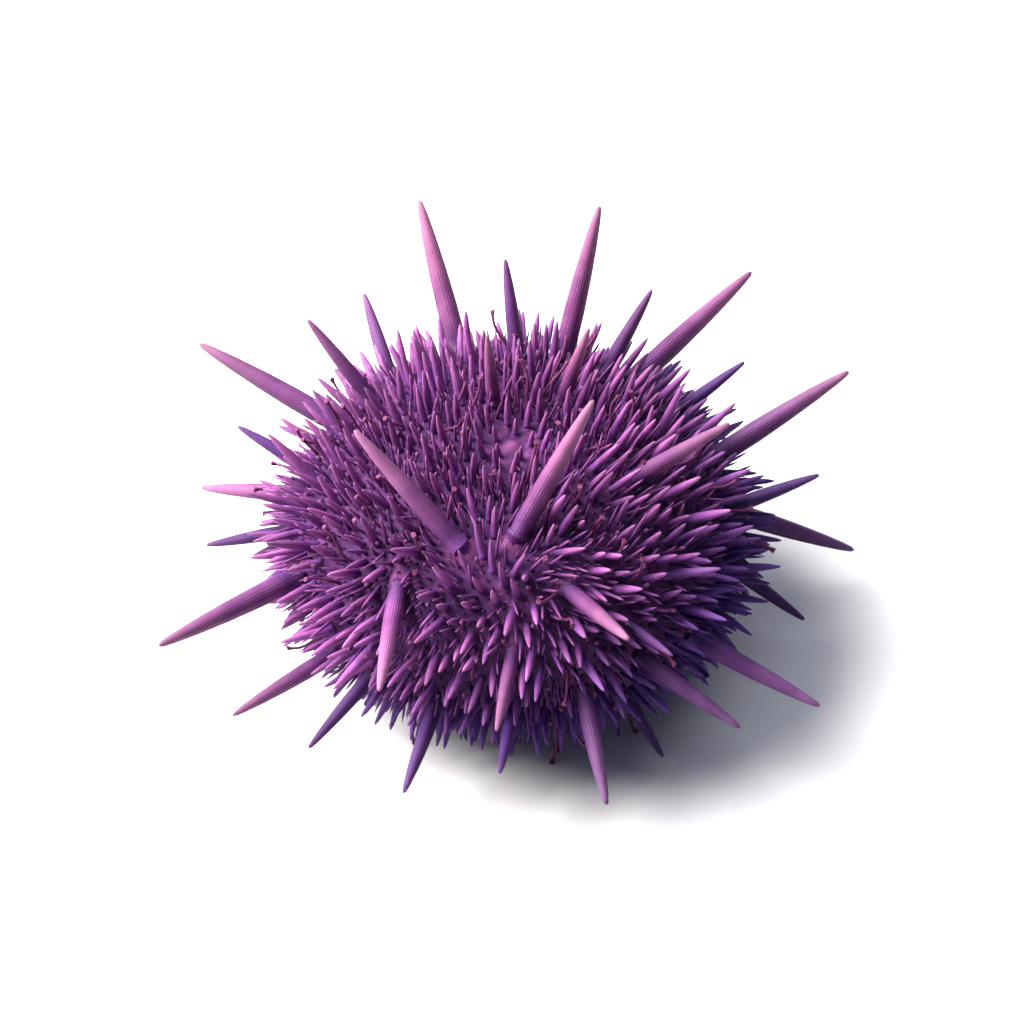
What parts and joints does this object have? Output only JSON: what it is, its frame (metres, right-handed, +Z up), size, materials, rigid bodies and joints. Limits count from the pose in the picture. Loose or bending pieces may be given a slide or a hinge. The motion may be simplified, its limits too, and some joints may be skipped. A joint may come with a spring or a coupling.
{
  "type": "purple sea urchin",
  "caption": "Life-size still model of a purple sea urchin: a low domed shell with tapered spines on every side, resting on its lower spines.",
  "frame": {"origin": "on the floor, under the middle of the model's box", "axes": "+Z up along the shell's axis from mouth to apical disc, -Y towards the viewer of the picture, +X to the viewer's right"},
  "size_m": [0.088, 0.0848, 0.0459],
  "materials": {
    "spined_shell": "satin purple, paler and pinker along the spines",
    "mouth_membrane": "moist dark purple skin",
    "tooth": "satin white"
  },
  "bodies": {
    "root": {"ambulacrum_1": "spined_shell", "ambulacrum_2": "spined_shell", "ambulacrum_3": "spined_shell", "ambulacrum_4": "spined_shell", "ambulacrum_5": "spined_shell", "apical_disc": "spined_shell", "interambulacrum_1": "spined_shell", "interambulacrum_2": "spined_shell", "interambulacrum_3": "spined_shell", "interambulacrum_4": "spined_shell", "interambulacrum_5": "spined_shell", "peristome": "mouth_membrane", "tooth_1": "tooth", "tooth_2": "tooth", "tooth_3": "tooth", "tooth_4": "tooth", "tooth_5": "tooth"}
  },
  "joints": []
}
